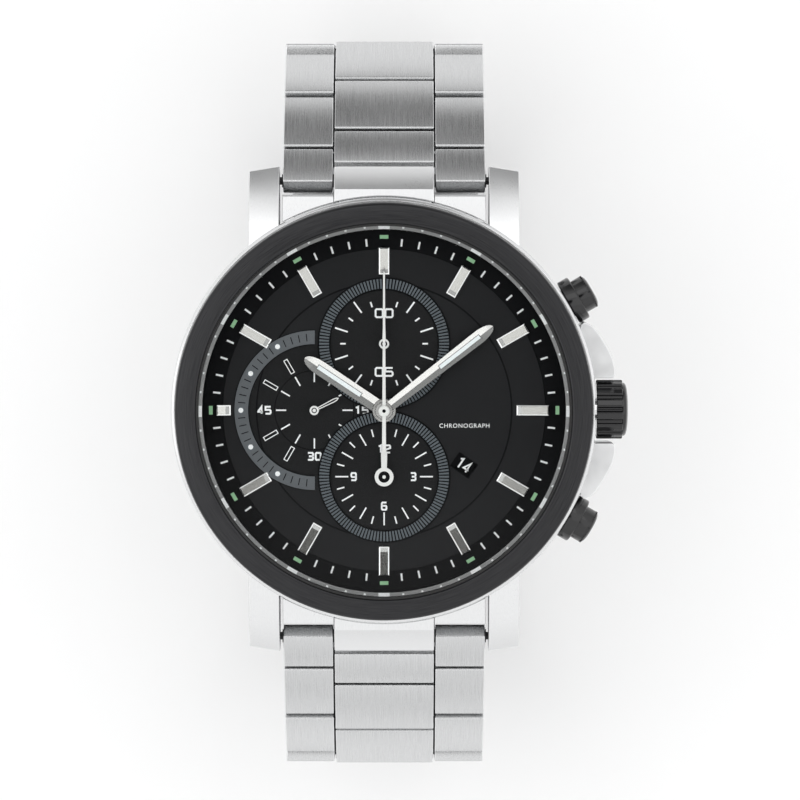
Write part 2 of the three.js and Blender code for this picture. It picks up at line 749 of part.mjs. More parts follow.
// The upper folding blade: two ears that take the last link of the 12 o'clock side.
function claspFork() {
  const ear = [
    [11.6, 2.25],
    [13.2, 2.2],
    ...arc(CLASP_PIVOT_Y, CLASP_Z, 1.1, 1.1, -110, 110, 5),
    [12.9, 3.05],
    [11.6, 3.05],
  ];
  const tongue = [
    [-9, 2.25],
    [-9, 3.05],
    ...arc(FOLD_Y, FOLD_Z, 0.9, 0.9, 90, 340, 6),
  ];
  return cut(
    joined(
      box(-7.2, 7.2, -9.3, 12.2, 2.25, 3.05),
      ...onBothSides(() => sweptAlongX(ear, 5.6, 7.2)),
      ...onBothSides(() => sweptAlongX(tongue, 3.4, 7.2)),
    ),
    rodAlongX(0.62, -12, 12, CLASP_PIVOT_Y, CLASP_Z, SMALL),
    rodAlongX(0.62, -12, 12, FOLD_Y, FOLD_Z, SMALL),
    box(-3.6, 3.6, -5.5, 8.5, 2, 4),
  );
}

add(watch, "clasp_cover", claspCover(), STEEL);
add(watch, "clasp_inner_blade", claspInnerBlade(), STEEL);
add(watch, "clasp_fork", claspFork(), STEEL);
add(watch, "clasp_fold_pin", rodAlongX(0.5, -7.1, 7.1, FOLD_Y, FOLD_Z, SMALL), POLISHED_STEEL);
for (const [side, sign] of [["right", 1], ["left", -1]]) {
  const [from, to] = [7.45, 10.85].map((x) => sign * x).sort((a, b) => a - b);
  add(watch, "clasp_pivot_" + side, rodAlongX(0.5, from, to, CLASP_PIVOT_Y, CLASP_Z, SMALL), POLISHED_STEEL);
  const [inner, outer] = [9.35, 11.4].map((x) => sign * x).sort((a, b) => a - b);
  add(watch, "clasp_button_" + side, rodAlongX(0.9, inner, outer, BUTTON_Y, 2.45, SMALL), POLISHED_STEEL);
}

export default watch;
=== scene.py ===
"""Chronograph wristwatch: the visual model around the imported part.

Shapes are drawn in millimetres about a local origin and placed by a matrix in metres.
The watch head's local origin is on the hands' axis at the height of the lug pivots.
"""
import json
import math

import bmesh
import bpy
from mathutils import Matrix, Vector


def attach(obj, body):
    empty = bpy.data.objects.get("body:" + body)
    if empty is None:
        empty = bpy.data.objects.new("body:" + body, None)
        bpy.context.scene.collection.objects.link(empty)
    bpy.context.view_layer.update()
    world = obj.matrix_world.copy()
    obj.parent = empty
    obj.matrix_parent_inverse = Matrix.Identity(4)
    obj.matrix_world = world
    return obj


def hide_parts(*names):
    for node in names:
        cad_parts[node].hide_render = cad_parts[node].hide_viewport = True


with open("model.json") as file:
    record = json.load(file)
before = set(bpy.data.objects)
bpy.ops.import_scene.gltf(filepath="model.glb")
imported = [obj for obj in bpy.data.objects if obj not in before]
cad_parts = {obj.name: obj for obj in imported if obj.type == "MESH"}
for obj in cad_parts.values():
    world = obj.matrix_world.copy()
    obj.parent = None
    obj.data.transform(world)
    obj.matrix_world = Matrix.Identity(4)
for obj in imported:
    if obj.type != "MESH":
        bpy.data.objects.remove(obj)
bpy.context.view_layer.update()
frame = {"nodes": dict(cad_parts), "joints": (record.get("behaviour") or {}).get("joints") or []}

MM = 0.001
JOINTS = {joint["name"]: joint for joint in frame["joints"]}
HEAD_Z = JOINTS["link_12_1_hinge"]["pos_m"][2]
HEAD = Matrix.Translation((0, 0, HEAD_Z))
SIDES = 192

# ---- heights in the head, in millimetres ----
DIAL_TOP = 3.5
INNER_TOP = 3.53  # the middle of the dial
INDEX_TOP = 3.57  # the ring that carries the hour indices
COUNTER_OFFSET = 7.2
LEFT_OFFSET = 7.55
CONTROL_Z = 1.2
PUSHER_ANGLE = 30
PRINT = 0.015  # thickness of the printing


# -------------------------------- mesh helpers

class Shape:
    """Closed bodies gathered in millimetres, to become one mesh."""

    def __init__(self):
        self.verts = []
        self.faces = []
        self.slots = []

    def add(self, verts, faces, slot=0, move=None):
        """slot is one number for all the faces, or a list with one for each."""
        start = len(self.verts)
        points = [Vector(v) for v in verts]
        if move is not None:
            points = [move @ p for p in points]
        flip = move is not None and move.to_3x3().determinant() < 0
        self.verts += points
        for face in faces:
            order = reversed(face) if flip else face
            self.faces.append([start + i for i in order])
        self.slots += slot if isinstance(slot, list) else [slot] * len(faces)


def spin_z(degrees):
    return Matrix.Rotation(math.radians(degrees), 4, "Z")


def shift(x, y, z):
    return Matrix.Translation((x, y, z))


def clock(degrees):
    """A turn clockwise from 12 o'clock."""
    return spin_z(-degrees)


def lathe(shape, profile, sides=SIDES, slot=0, move=None):
    """Turns a closed counter-clockwise [radius, height] profile about +Z; slot may list one per edge."""
    verts, rings = [], []
    for r, z in profile:
        if r < 1e-9:
            rings.append([len(verts)] * sides)
            verts.append((0, 0, z))
            continue
        rings.append([len(verts) + i for i in range(sides)])
        for i in range(sides):
            a = 2 * math.pi * i / sides
            verts.append((r * math.cos(a), r * math.sin(a), z))
    faces, face_slots = [], []
    for k, low in enumerate(rings):
        high = rings[(k + 1) % len(rings)]
        if low[0] == low[1] and high[0] == high[1]:
            continue
        for i in range(sides):
            j = (i + 1) % sides
            corners = [low[i], low[j], high[j], high[i]]
            faces.append([v for n, v in enumerate(corners) if v not in corners[:n]])
            face_slots.append(slot[k] if isinstance(slot, list) else slot)
    shape.add(verts, faces, face_slots, move)


def prism(shape, outline, z0, z1, slot=0, move=None):
    """Raises a counter-clockwise [x, y] outline from z0 to z1."""
    n = len(outline)
    verts = [(x, y, z0) for x, y in outline] + [(x, y, z1) for x, y in outline]
    sides = [[i, (i + 1) % n, n + (i + 1) % n, n + i] for i in range(n)]
    ends = [list(reversed(range(n))), list(range(n, 2 * n))]
    shape.add(verts, sides + ends, slot, move)


TO_SIDE = Matrix(((0, 0, 1, 0), (1, 0, 0, 0), (0, 1, 0, 0), (0, 0, 0, 1)))  # (y, z, x) to (x, y, z)


def across(shape, outline, x0, x1, slot=0, move=None):
    """Sweeps a counter-clockwise [y, z] outline from x0 to x1."""
    prism(shape, outline, x0, x1, slot, TO_SIDE if move is None else move @ TO_SIDE)


def block(shape, x0, x1, y0, y1, z0, z1, slot=0, move=None):
    prism(shape, [(x0, y0), (x1, y0), (x1, y1), (x0, y1)], z0, z1, slot, move)


def sector(shape, r0, r1, a0, a1, z0, z1, steps=1, slot=0, move=None, rise=0.0):
    """A piece of a ring between two angles; its outer edge may lie higher by rise."""
    angles = [math.radians(a0 + (a1 - a0) * i / steps) for i in range(steps + 1)]
    inner = [(r0 * math.cos(a), r0 * math.sin(a)) for a in angles]
    outer = [(r1 * math.cos(a), r1 * math.sin(a)) for a in angles]
    outline = outer + list(reversed(inner))
    n = len(outline)
    lifts = [rise] * len(outer) + [0.0] * len(inner)
    verts = [(x, y, z + lift) for z in (z0, z1) for (x, y), lift in zip(outline, lifts)]
    faces = [[i, (i + 1) % n, n + (i + 1) % n, n + i] for i in range(n)]
    for i in range(steps):
        a, b, c, d = i, i + 1, n - 2 - i, n - 1 - i
        faces.append([d, c, b, a])
        faces.append([n + a, n + b, n + c, n + d])
    shape.add(verts, faces, slot, move)


def disc(shape, radius, z0, z1, sides=48, slot=0, move=None):
    lathe(shape, [(0, z0), (radius, z0), (radius, z1), (0, z1)], sides, slot, move)


def ring(shape, inner, outer, z0, z1, sides=SIDES, slot=0, move=None):
    lathe(shape, [(inner, z0), (outer, z0), (outer, z1), (inner, z1)], sides, slot, move)


def arc(cx, cy, rx, ry, start, end, steps):
    return [
        (cx + rx * math.cos(math.radians(a)), cy + ry * math.sin(math.radians(a)))
        for a in (start + (end - start) * i / steps for i in range(steps + 1))
    ]


def stroke(shape, points, width, z0, z1, closed=False, slot=0, move=None):
    """A line of even width through the points, with mitred corners."""
    points = [Vector(p) for p in points]
    count = len(points)
    left, right = [], []
    for i, p in enumerate(points):
        d0 = (p - points[i - 1]).normalized()
        d1 = (points[(i + 1) % count] - p).normalized()
        if not closed and i == 0:
            d0 = d1
        if not closed and i == count - 1:
            d1 = d0
        normal = Vector((-(d0 + d1).y, (d0 + d1).x)).normalized()
        reach = width / 2 / max(0.35, normal.dot(Vector((-d0.y, d0.x))))
        left.append(p + normal * reach)
        right.append(p - normal * reach)
    verts = []
    for z in (z0, z1):
        verts += [(v.x, v.y, z) for v in left] + [(v.x, v.y, z) for v in right]
    faces = []
    high = 2 * count
    for i in range(count if closed else count - 1):
        j = (i + 1) % count
        faces.append([i, j, count + j, count + i])
        faces.append([high + count + i, high + count + j, high + j, high + i])
        faces.append([high + i, high + j, j, i])
        faces.append([count + i, count + j, high + count + j, high + count + i])
    if not closed:
        last = count - 1
        faces.append([count, high + count, high, 0])
        faces.append([last, high + last, high + count + last, count + last])
    shape.add(verts, faces, slot, move)


C = 0.14  # how much of a digit its corners cut off
DIGITS = {
    "0": [([(C, 0), (1 - C, 0), (1, C), (1, 1 - C), (1 - C, 1), (C, 1), (0, 1 - C), (0, C)], True)],
    "1": [([(0.15, 0.85), (0.6, 1), (0.6, 0)], False)],
    "2": [([(0, 1), (1 - C, 1), (1, 1 - C), (1, 0.62), (C, 0.42), (0, 0.3), (0, 0), (1, 0)], False)],
    "3": [
        ([(0, 1), (1 - C, 1), (1, 1 - C), (1, 0.66), (1 - C, 0.5), (0.2, 0.5)], False),
        ([(1 - C, 0.5), (1, 0.34), (1, C), (1 - C, 0), (0, 0)], False),
    ],
    "4": [([(0.72, 0), (0.72, 1), (0, 0.28), (1, 0.28)], False)],
    "5": [([(1, 1), (0, 1), (0, 0.55), (1 - C, 0.55), (1, 0.4), (1, C), (1 - C, 0), (0, 0)], False)],
    "6": [(
        [(1, 1), (C, 1), (0, 1 - C), (0, C), (C, 0), (1 - C, 0), (1, C), (1, 0.42), (1 - C, 0.55), (0, 0.55)],
        False,
    )],
    "7": [([(0, 1), (1, 1), (0.35, 0)], False)],
    "8": [
        ([(C, 0), (1 - C, 0), (1, C), (1, 1 - C), (1 - C, 1), (C, 1), (0, 1 - C), (0, C)], True),
        ([(0, 0.52), (1, 0.52)], False),
    ],
    "9": [(
        [
            (0, 0), (1 - C, 0), (1, C), (1, 1 - C), (1 - C, 1), (C, 1), (0, 1 - C), (0, 0.58), (C, 0.45),
            (1, 0.45),
        ],
        False,
    )],
}


def number(shape, text, width, height, gap, line, z0, z1, slot, move):
    """A number centred on its origin, each digit width by height between its lines' middles."""
    total = len(text) * width + (len(text) - 1) * gap
    for i, digit in enumerate(text):
        x = -total / 2 + i * (width + gap)
        for points, closed in DIGITS[digit]:
            spots = [(x + px * width, (py - 0.5) * height) for px, py in points]
            stroke(shape, spots, line, z0, z1, closed, slot, move)


def placed(name, data):
    thing = bpy.data.objects.new(name, data)
    bpy.context.scene.collection.objects.link(thing)
    return thing


def recalculated(mesh):
    bm = bmesh.new()
    bm.from_mesh(mesh)
    bmesh.ops.recalc_face_normals(bm, faces=bm.faces)
    bm.to_mesh(mesh)
    bm.free()


def piece(name, shape, looks, place, body, replaces=(), bevel=0, sharp=32):
    """Makes the object: looks are its materials, place is the matrix of its local origin."""
    mesh = bpy.data.meshes.new(name)
    mesh.from_pydata([tuple(v * MM) for v in shape.verts], [], shape.faces)
    for look in looks:
        mesh.materials.append(look)
    mesh.polygons.foreach_set("material_index", shape.slots)
    recalculated(mesh)
    mesh.polygons.foreach_set("use_smooth", [True] * len(mesh.polygons))
    mesh.set_sharp_from_angle(angle=math.radians(sharp))
    thing = placed(name, mesh)
    thing.matrix_world = place
    if bevel:
        add_bevel(thing, bevel)
    else:
        add_flat_shading(thing)
    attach(thing, body)
    if replaces:
        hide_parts(*replaces)
    return thing


def add_flat_shading(thing):
    """Large faces keep their own normals; the small ones beside them blend."""
    made = thing.modifiers.new("even_normals", "WEIGHTED_NORMAL")
    made.keep_sharp = True
    made.weight = 100


def add_bevel(thing, width, segments=2, look=-1, angle=30):
    old = thing.modifiers.get("even_normals")
    if old:
        thing.modifiers.remove(old)
    made = thing.modifiers.new("soft_edges", "BEVEL")
    made.width = width * MM
    made.segments = segments
    made.limit_method = "ANGLE"
    made.angle_limit = math.radians(angle)
    made.material = look
    made.harden_normals = True
    made.use_clamp_overlap = True


def carve(thing, cutter_shape):
    """Cuts the cutter's bodies out of the piece."""
    mesh = bpy.data.meshes.new("cutter")
    mesh.from_pydata([tuple(v * MM) for v in cutter_shape.verts], [], cutter_shape.faces)
    recalculated(mesh)
    cutter = placed("cutter", mesh)
    cutter.matrix_world = thing.matrix_world
    bpy.context.view_layer.update()
    cut = thing.modifiers.new("cut", "BOOLEAN")
    cut.operation = "DIFFERENCE"
    cut.solver = "EXACT"
    cut.use_self = True
    cut.object = cutter
    graph = bpy.context.evaluated_depsgraph_get()
    result = bpy.data.meshes.new_from_object(thing.evaluated_get(graph))
    thing.modifiers.remove(cut)
    thing.data = result
    result.polygons.foreach_set("use_smooth", [True] * len(result.polygons))
    result.set_sharp_from_angle(angle=math.radians(32))
    bpy.data.objects.remove(cutter)


# -------------------------------- materials

COAT_ROUGHNESS = 0.05


def new_look(name, color, metallic, roughness, coat=0.0, specular=0.5):
    look = bpy.data.materials.new(name)
    look.use_nodes = True
    shader = look.node_tree.nodes["Principled BSDF"]
    shader.inputs["Base Color"].default_value = (*color, 1)
    shader.inputs["Metallic"].default_value = metallic
    shader.inputs["Roughness"].default_value = roughness
    shader.inputs["Specular IOR Level"].default_value = specular
    shader.inputs["Coat Weight"].default_value = coat
    shader.inputs["Coat Roughness"].default_value = COAT_ROUGHNESS
    return look, look.node_tree, shader


def node(tree, kind, **values):
    made = tree.nodes.new(kind)
    for key, value in values.items():
        setattr(made, key, value)
    return made


def calculated(tree, operation, *values):
    """A Math node's result; each value is a number or another node's output."""
    made = node(tree, "ShaderNodeMath", operation=operation)
    for place, value in enumerate(values):
        if isinstance(value, (int, float)):
            made.inputs[place].default_value = value
        else:
            tree.links.new(value, made.inputs[place])
    return made.outputs[0]


def local_point(tree, scale):
    """The point on the piece in its own frame, stretched by scale per metre."""
    where = node(tree, "ShaderNodeTexCoord")
    mapping = node(tree, "ShaderNodeMapping")
    mapping.inputs["Scale"].default_value = scale
    tree.links.new(where.outputs["Object"], mapping.inputs["Vector"])
    return mapping.outputs["Vector"]


def polar_point(tree, across_scale, round_scale):
    """Distance from the piece's axis and angle about it, for circular brushing."""
    where = node(tree, "ShaderNodeTexCoord")
    split = node(tree, "ShaderNodeSeparateXYZ")
    tree.links.new(where.outputs["Object"], split.inputs[0])
    flat = node(tree, "ShaderNodeCombineXYZ")
    tree.links.new(split.outputs["X"], flat.inputs["X"])
    tree.links.new(split.outputs["Y"], flat.inputs["Y"])
    length = node(tree, "ShaderNodeVectorMath", operation="LENGTH")
    tree.links.new(flat.outputs[0], length.inputs[0])
    angle = calculated(tree, "ARCTAN2", split.outputs["Y"], split.outputs["X"])
    joined = node(tree, "ShaderNodeCombineXYZ")
    for output, target, scale in (
        (length.outputs["Value"], "X", across_scale),
        (angle, "Y", round_scale),
        (split.outputs["Z"], "Z", across_scale),
    ):
        tree.links.new(calculated(tree, "MULTIPLY", output, scale), joined.inputs[target])
    return joined.outputs[0]


def noise(tree, vector, detail=2.0, rough=0.5):
    """Noise whose size is set by how far the point is stretched."""
    made = node(tree, "ShaderNodeTexNoise")
    made.inputs["Scale"].default_value = 1.0
    made.inputs["Detail"].default_value = detail
    made.inputs["Roughness"].default_value = rough
    tree.links.new(vector, made.inputs["Vector"])
    return made.outputs["Fac"]


def even_noise(tree, per_metre, detail=2.0, rough=0.5):
    return noise(tree, local_point(tree, [per_metre] * 3), detail, rough)


def spread(tree, value, low, high, from_low=0.3, from_high=0.7):
    made = node(tree, "ShaderNodeMapRange")
    made.inputs["From Min"].default_value = from_low
    made.inputs["From Max"].default_value = from_high
    made.inputs["To Min"].default_value = low
    made.inputs["To Max"].default_value = high
    tree.links.new(value, made.inputs["Value"])
    return made.outputs["Result"]


def tint(tree, value, dark, light, shader):
    """The base colour, from dark to light as value rises."""
    ramp = node(tree, "ShaderNodeValToRGB")
    for element, position, color in zip(ramp.color_ramp.elements, (0.3, 0.7), (dark, light)):
        element.position = position
        element.color = (*color, 1)
    tree.links.new(value, ramp.inputs["Fac"])
    tree.links.new(ramp.outputs["Color"], shader.inputs["Base Color"])


def bump(tree, shader, height, strength, distance):
    made = node(tree, "ShaderNodeBump")
    made.inputs["Strength"].default_value = strength
    made.inputs["Distance"].default_value = distance
    tree.links.new(height, made.inputs["Height"])
    tree.links.new(made.outputs["Normal"], shader.inputs["Normal"])


def brushed(name, dark, light, rough, axis, metallic=1.0, grain=9000, strength=0.06):
    """Metal with fine lines along one axis of the piece ("X", "Y", "Z") or round its axis ("ROUND")."""
    look, tree, shader = new_look(name, light, metallic, rough[0])
    if axis == "ROUND":
        point = polar_point(tree, grain, 7.0)
    else:
        point = local_point(tree, [grain / 60 if axis == a else grain for a in "XYZ"])
    lines = noise(tree, point, 3.0, 0.6)
    tint(tree, lines, dark, light, shader)
    cloud = calculated(tree, "MULTIPLY", even_noise(tree, 260), 0.3)
    mixed = calculated(tree, "MULTIPLY_ADD", lines, 0.7, cloud)
    tree.links.new(spread(tree, mixed, *rough), shader.inputs["Roughness"])
    bump(tree, shader, lines, strength, 0.00002)
    return look


def polished(name, color, rough=(0.05, 0.12), metallic=1.0, coat=0.0):
    """Smooth metal or lacquer with faint wipe marks in its gloss."""
    look, tree, shader = new_look(name, color, metallic, rough[0], coat)
    haze = even_noise(tree, 420, 4.0, 0.55)
    tree.links.new(spread(tree, haze, *rough), shader.inputs["Roughness"])
    tint(tree, haze, [c * 0.93 for c in color], color, shader)
    return look


def matt(name, color, rough=(0.5, 0.62), grain=6000, strength=0.12, metallic=0.0, specular=0.5):
    """Lacquer, paint, plastic or rubber with a fine grain."""
    look, tree, shader = new_look(name, color, metallic, rough[0], specular=specular)
    grains = even_noise(tree, grain)
    tint(tree, grains, [c * 0.88 for c in color], color, shader)
    tree.links.new(spread(tree, grains, *rough), shader.inputs["Roughness"])
    bump(tree, shader, grains, strength, 0.00001)
    return look


def grooved(name, dark, light, spacing, rough):
    """A dark disc with fine turned grooves about its own axis."""
    look, tree, shader = new_look(name, light, 0.0, rough, specular=0.1)
    split = node(tree, "ShaderNodeSeparateXYZ")
    tree.links.new(polar_point(tree, 2 * math.pi / (spacing * MM), 0.0), split.inputs[0])
    tint(tree, even_noise(tree, 7000), dark, light, shader)
    bump(tree, shader, calculated(tree, "SINE", split.outputs["X"]), 0.12, 0.00001)
    return look


STEEL_LIGHT, STEEL_DARK = (0.8, 0.805, 0.81), (0.74, 0.745, 0.75)
case_brushed = brushed("case_brushed_steel", STEEL_DARK, STEEL_LIGHT, (0.26, 0.34), "Y", grain=14000)
case_round = brushed("case_turned_steel", STEEL_DARK, STEEL_LIGHT, (0.2, 0.3), "ROUND")
# the bracelet and clasp steel is a darker copy of the case steel, so that the links read darker: painted
# shade
link_steel_painted_shade = brushed(
    "link_brushed_steel", (0.57, 0.575, 0.58), (0.67, 0.675, 0.68), (0.22, 0.32), "Y", grain=14000
)
polished_steel = polished("polished_steel", (0.82, 0.825, 0.83))
guard_steel = polished("guard_satin_steel", (0.82, 0.825, 0.83), (0.3, 0.38))
hand_steel = polished("hand_satin_steel", (0.7, 0.69, 0.67), (0.2, 0.3))
# a darker copy of the hand steel for one facet of each faceted hand and the rim round its lume strip: painted
# shade
hand_painted_shade = polished("hand_facet_painted_shade", (0.24, 0.24, 0.235), (0.22, 0.32))
hand_light = polished("hand_light_satin", (0.8, 0.8, 0.78), (0.42, 0.5), 0.15)
# the indices' steel darkened for their inner-end facet: painted shade
index_painted_shade = polished("index_end_facet_painted_shade", (0.42, 0.42, 0.41), (0.2, 0.3))
index_rim = polished("index_polished_rim", (0.95, 0.95, 0.94), (0.1, 0.16))
index_fill = brushed(
    "index_brushed_face", (0.6, 0.59, 0.56), (0.68, 0.67, 0.64), (0.12, 0.18), "Y", grain=20000
)
bezel_black = brushed(
    "bezel_black_brushed", (0.02, 0.02, 0.022), (0.042, 0.042, 0.044), (0.26, 0.38), "ROUND", 0.75,
    grain=22000,
)
gloss_black = polished("gloss_black", (0.009, 0.009, 0.01), (0.06, 0.12), 0.0, 0.18)
dial_middle = matt("dial_black_satin", (0.0118, 0.0121, 0.0132), (0.4, 0.5), strength=0.02, specular=0.12)
dial_track = matt("dial_black_track", (0.0046, 0.0049, 0.0056), (0.45, 0.55), specular=0.05)
counter_floor = grooved(
    "counter_black_turned", (0.0096, 0.0098, 0.0104), (0.0124, 0.0127, 0.0133), 0.16, 0.42
)
rib_grey = matt("counter_rib_grey", (0.105, 0.122, 0.136), (0.34, 0.44), metallic=0.3)
band_grey = matt("left_band_grey", (0.098, 0.107, 0.116), (0.38, 0.48), metallic=0.2)
flange_grey = brushed("flange_grey_ring", (0.27, 0.27, 0.27), (0.33, 0.33, 0.328), (0.35, 0.45), "ROUND", 0.2)
print_white = matt("print_white", (0.93, 0.94, 0.94), (0.5, 0.6))
lume_green = matt("lume_green", (0.36, 0.66, 0.38), (0.55, 0.7), 9000)
lume_pale = matt("lume_pale", (0.88, 0.93, 0.94), (0.5, 0.65), 9000)
rubber = matt("seal_rubber", (0.012, 0.012, 0.012), (0.65, 0.8))
brass = brushed("movement_plate", (0.5, 0.42, 0.26), (0.66, 0.57, 0.38), (0.28, 0.4), "X")
battery_metal = brushed("battery_steel", (0.5, 0.5, 0.5), (0.66, 0.66, 0.65), (0.22, 0.32), "ROUND")
copper = brushed("coil_copper", (0.3, 0.1, 0.04), (0.6, 0.28, 0.14), (0.3, 0.42), "Y", grain=5000)
grey_plastic = matt("grey_plastic", (0.09, 0.095, 0.1), (0.5, 0.62), 4000)
# near-black steel for the link cores and spring bars, so that the gaps between parts read dark: painted shade
gap_painted_shade = matt("link_gap_steel", (0.05, 0.05, 0.052), (0.4, 0.55), metallic=1.0)


def glass_look():
    """Clear flat crystal: lets light straight through, and mirrors a little at its faces."""
    look = bpy.data.materials.new("crystal_glass")
    look.use_nodes = True
    tree = look.node_tree
    tree.nodes.remove(tree.nodes["Principled BSDF"])
    out = tree.nodes["Material Output"]
    clear = node(tree, "ShaderNodeBsdfTransparent")
    clear.inputs["Color"].default_value = (0.985, 0.99, 0.99, 1)
    mirror = node(tree, "ShaderNodeBsdfGlossy")
    mirror.inputs["Color"].default_value = (1, 1, 1, 1)
    mirror.inputs["Roughness"].default_value = 0.02
    facing = node(tree, "ShaderNodeFresnel")
    facing.inputs["IOR"].default_value = 1.3
    # only the outer side of each face mirrors: seen from inside the glass, it is clear
    back = node(tree, "ShaderNodeNewGeometry").outputs["Backfacing"]
    front = calculated(tree, "SUBTRACT", 1.0, back)
    mix = node(tree, "ShaderNodeMixShader")
    tree.links.new(calculated(tree, "MULTIPLY", facing.outputs[0], front), mix.inputs["Fac"])
    tree.links.new(clear.outputs[0], mix.inputs[1])
    tree.links.new(mirror.outputs[0], mix.inputs[2])
    tree.links.new(mix.outputs[0], out.inputs["Surface"])
    return look


crystal_glass = glass_look()


# -------------------------------- case

# an axis along +Z laid along +X, at the controls' height
ALONG_X = shift(0, 0, CONTROL_Z) @ Matrix.Rotation(math.radians(90), 4, "Y")


def rod(shape, steps, sides=64, move=None):
    """A bar turned about the X axis at the controls' height, given by its [x, radius] steps."""
    outline = [(0, steps[0][0])] + [(r, x) for x, r in steps] + [(0, steps[-1][0])]
    lathe(shape, outline, sides, move=ALONG_X if move is None else move @ ALONG_X)


LUG_ROOT_Y = 17.6
LUG_INNER_X, LUG_OUTER_X = 11.35, 14.65
LUG_SLANT = 0.55


def slanted(vert):
    """Moves a lug's outer side in, so that its end slants back towards the outside."""
    is_end = abs(vert.x) > LUG_OUTER_X - 0.1 and abs(vert.y) > LUG_ROOT_Y + 0.1
    return vert - Vector((0, math.copysign(LUG_SLANT, vert.y), 0)) if is_end else vert


def case():
    barrel = Shape()
    lathe(barrel, [
        (17.4, -2.2), (22.3, -2.2), (22.75, -1.9), (23.0, -1.4), (23.0, 4.8), (22.93, 5.05), (22.7, 5.2),
        (20.75, 5.2), (20.75, 3.05), (17.4, 3.05),
    ])
    body = piece(
        "case_barrel", barrel, [case_round, polished_steel], HEAD, "case", ["case_body"]
    )
    cuts = Shape()
    block(cuts, 22.75, 26, -3.5, 3.5, -3.2, 6.2)
    rod(cuts, [(16, 1.3), (24, 1.3)])
    for side in (1, -1):
        rod(cuts, [(16, 1.72), (25, 1.72)], move=spin_z(side * PUSHER_ANGLE))
    carve(body, cuts)
    add_bevel(body, 0.12)

    side_view = [
        (LUG_ROOT_Y, -2.2), (24.9, -2.4), (26.0, -1.7), (26.4, -0.6), (26.4, 1.2), (23.1, 3.7),
        (LUG_ROOT_Y, 4.9),
    ]
    for hour, mirror_y in (("12", 1), ("6", -1)):
        for side, mirror_x in (("right", 1), ("left", -1)):
            lug = Shape()
            flip = Matrix.Diagonal((mirror_x, mirror_y, 1, 1))
            across(lug, side_view, LUG_INNER_X, LUG_OUTER_X, 0, flip)
            lug.verts = [slanted(v) for v in lug.verts]
            thing = piece(
                f"case_lug_{hour}_{side}", lug, [case_brushed, polished_steel], HEAD, "case"
            )
            add_bevel(thing, 0.12, 2, 1)

    guard_plan = [
        (21.2, 3.5), (24.6, 3.5), (24.85, 3.65), (24.97, 3.9), (24.98, 4.3), (24.92, 4.8), (24.7, 5.65),
        (24.25, 6.6), (23.6, 7.7), (23.0, 8.6), (22.5, 9.15), (21.6, 9.6), (21.2, 9.2),
    ]
    for place, side in (("upper", 1), ("lower", -1)):
        guard = Shape()
        prism(guard, guard_plan, -1.7, 4.5, 0, Matrix.Diagonal((1, side, 1, 1)))
        thing = piece(f"crown_guard_{place}", guard, [guard_steel], HEAD, "case")
        add_bevel(thing, 0.3, 4)


def bezel():
    shape = Shape()
    lathe(shape, [
        (20.75, 5.3), (22.42, 5.3), (22.5, 5.4), (22.5, 7.15), (22.47, 7.35), (22.38, 7.52), (22.24, 7.66),
        (22.05, 7.76), (20.5, 7.9), (20.36, 7.87), (20.25, 7.75), (20.25, 6.6), (20.75, 6.6),
    ], 256)
    piece("bezel_ring", shape, [bezel_black], HEAD, "case", ["bezel"], sharp=40)


def crystal():
    shape = Shape()
    lathe(shape, [(0, 6.75), (19.9, 6.75), (19.9, 7.9), (19.72, 8.12), (19.5, 8.2), (0, 8.2)], 256)
    piece("crystal_disc", shape, [crystal_glass], HEAD, "case", ["crystal"])
    seal = Shape()
    ring(seal, 19.95, 20.2, 6.6, 7.78, 256)
    piece("crystal_seal", seal, [rubber], HEAD, "case", ["crystal_gasket"])


FLANGE = {"inner": 19.6, "low": 5.9, "outer": 20.12, "high": 6.35}


def flange():
    shape = Shape()
    wall, face = 0, 1
    lathe(shape, [
        (FLANGE["inner"], 3.62), (20.65, 3.62), (20.65, 6.5), (20.2, 6.5), (FLANGE["outer"], FLANGE["high"]),
        (FLANGE["inner"], FLANGE["low"]),
    ], 256, slot=[wall, wall, wall, wall, face, wall])
    piece("flange_ring_turned", shape, [dial_track, flange_grey], HEAD, "case", ["flange_ring"])
    marks = Shape()
    rise = FLANGE["high"] - FLANGE["low"]
    width = FLANGE["outer"] - FLANGE["inner"]
    for minute in range(60):
        is_hour = minute % 5 == 0
        half, inset = (1.75, 0.02) if is_hour else (0.34, 0.16)
        a = 90 - 6 * minute
        start, end = FLANGE["inner"] + inset, FLANGE["outer"] - inset - 0.02
        low = FLANGE["low"] + rise * inset / width
        sector(
            marks, start, end, a - half, a + half, low + 0.02, low + 0.05, 4 if is_hour else 1,
            rise=rise * (end - start) / width,
        )
    piece("flange_hour_marks", marks, [print_white], HEAD, "case")


# -------------------------------- dial

DATE = {"radius": 10.5, "angle": 124.7, "length": 2.37, "width": 1.76}
FLOOR_TOP = 3.46  # the counters' recessed floors


